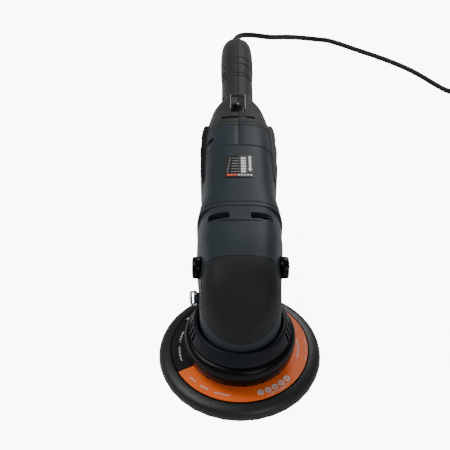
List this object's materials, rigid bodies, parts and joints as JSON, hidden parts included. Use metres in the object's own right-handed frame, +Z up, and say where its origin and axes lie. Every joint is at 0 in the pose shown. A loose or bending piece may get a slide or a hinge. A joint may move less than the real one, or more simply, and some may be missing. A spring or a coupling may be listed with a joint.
{
  "type": "random orbital polisher",
  "caption": "Corded random-orbital polisher: round hook-and-loop pad on an eccentric spindle, bevel-gear head, in-line motor and slim rear handle.",
  "frame": {"origin": "where the drive spindle's axis meets the plane of the pad's working face", "axes": "+Z up along the drive spindle, away from the work; +Y from the head towards the rear handle; +X to the right seen from the front"},
  "size_m": [0.506, 0.6272, 0.1279],
  "materials": {
    "housing_plastic": "fine-textured blue-black moulded nylon",
    "handle_plastic": "fine-textured dark grey moulded nylon",
    "black_plastic": "satin black moulded plastic",
    "collar_plastic": "satin blue-black moulded plastic",
    "soft_rubber": "soft-touch overmould",
    "pad_foam": "moulded polyurethane foam skin",
    "hook_fabric": "hook-and-loop face",
    "orange_print": "printed film",
    "black_print": "printed film",
    "steel": "ground steel",
    "polished_steel": "polished wire",
    "aluminium": "die-cast",
    "copper": "enamelled copper and copper segments",
    "carbon": "pressed carbon",
    "fibre_board": "glass-fibre circuit board",
    "cord_sheath": "satin rubber sheath"
  },
  "bodies": {
    "housing": {"head_cover": "housing_plastic", "motor_housing": "housing_plastic", "rear_collar_left": "housing_plastic", "rear_collar_right": "housing_plastic", "handle_left": "handle_plastic", "handle_right": "handle_plastic", "shroud": "black_plastic", "boss_plug_left": "black_plastic", "boss_plug_right": "black_plastic", "side_cover_left": "black_plastic", "side_cover_right": "black_plastic", "switch_body": "black_plastic", "vented_collar": "collar_plastic", "nose_insert": "soft_rubber", "label_plate": "black_print", "spindle_bearing_lower": "steel", "spindle_bearing_upper": "steel", "front_bearing": "steel", "rear_bearing": "steel", "stator_core": "steel", "collar_screw": "steel", "handle_screw_front": "steel", "handle_screw_rear": "steel", "plug_pin_left": "steel", "plug_pin_right": "steel", "gear_case": "aluminium", "gear_case_cap": "aluminium", "field_coil_upper": "copper", "field_coil_lower": "copper", "brush_holder_left": "copper", "brush_holder_right": "copper", "brush_left": "carbon", "brush_right": "carbon", "speed_control_board": "fibre_board", "cord": "cord_sheath", "cord_coil": "cord_sheath", "plug_body": "cord_sheath", "strain_relief": "cord_sheath"},
    "eccentric": {"eccentric_hub": "steel", "counterweight": "steel", "pad_bearing": "steel", "drive_spindle": "steel", "crown_gear": "steel"},
    "pad": {"pad_hook_face": "hook_fabric", "pad_foam": "pad_foam", "pad_plate": "black_plastic", "pad_label_orange": "orange_print", "pad_label_black": "black_print", "pad_washer": "steel", "pad_screw": "steel", "pad_spindle": "steel"},
    "armature": {"armature_shaft": "steel", "armature_core": "steel", "armature_winding": "copper", "commutator": "copper", "cooling_fan": "black_plastic", "bevel_pinion": "steel"},
    "switch": {"switch_slider": "black_plastic"},
    "dial": {"speed_dial": "black_plastic"},
    "ring": {"hanging_ring": "polished_steel"}
  },
  "joints": [
    {"name": "orbit", "type": "hinge", "parent": "housing", "child": "eccentric", "pos_m": [0, 0, 0.0555], "axis": [0, 0, 1], "continuous": true},
    {"name": "pad_spin", "type": "hinge", "parent": "eccentric", "child": "pad", "pos_m": [0, 0.0075, 0.0285], "axis": [0, 0, 1], "continuous": true},
    {"name": "armature_spin", "type": "hinge", "parent": "housing", "child": "armature", "pos_m": [0, 0.122, 0.0845], "axis": [0, 1, 0], "continuous": true},
    {"name": "switch_slide", "type": "slide", "parent": "housing", "child": "switch", "axis": [0, 0.996, -0.0899], "range_m": [0, 0.009]},
    {"name": "speed_dial_turn", "type": "hinge", "parent": "housing", "child": "dial", "pos_m": [0, 0.2296, 0.0845], "axis": [0, 1, 0], "range_deg": [0, 270]},
    {"name": "ring_swing", "type": "hinge", "parent": "housing", "child": "ring", "pos_m": [-0.0389, 0.014, 0.0715], "axis": [0, 0, 1], "range_deg": [-30, 30]}
  ],
  "couplings": [
    {"joint": "armature_spin", "follows": "orbit", "ratio": 3.375}
  ]
}
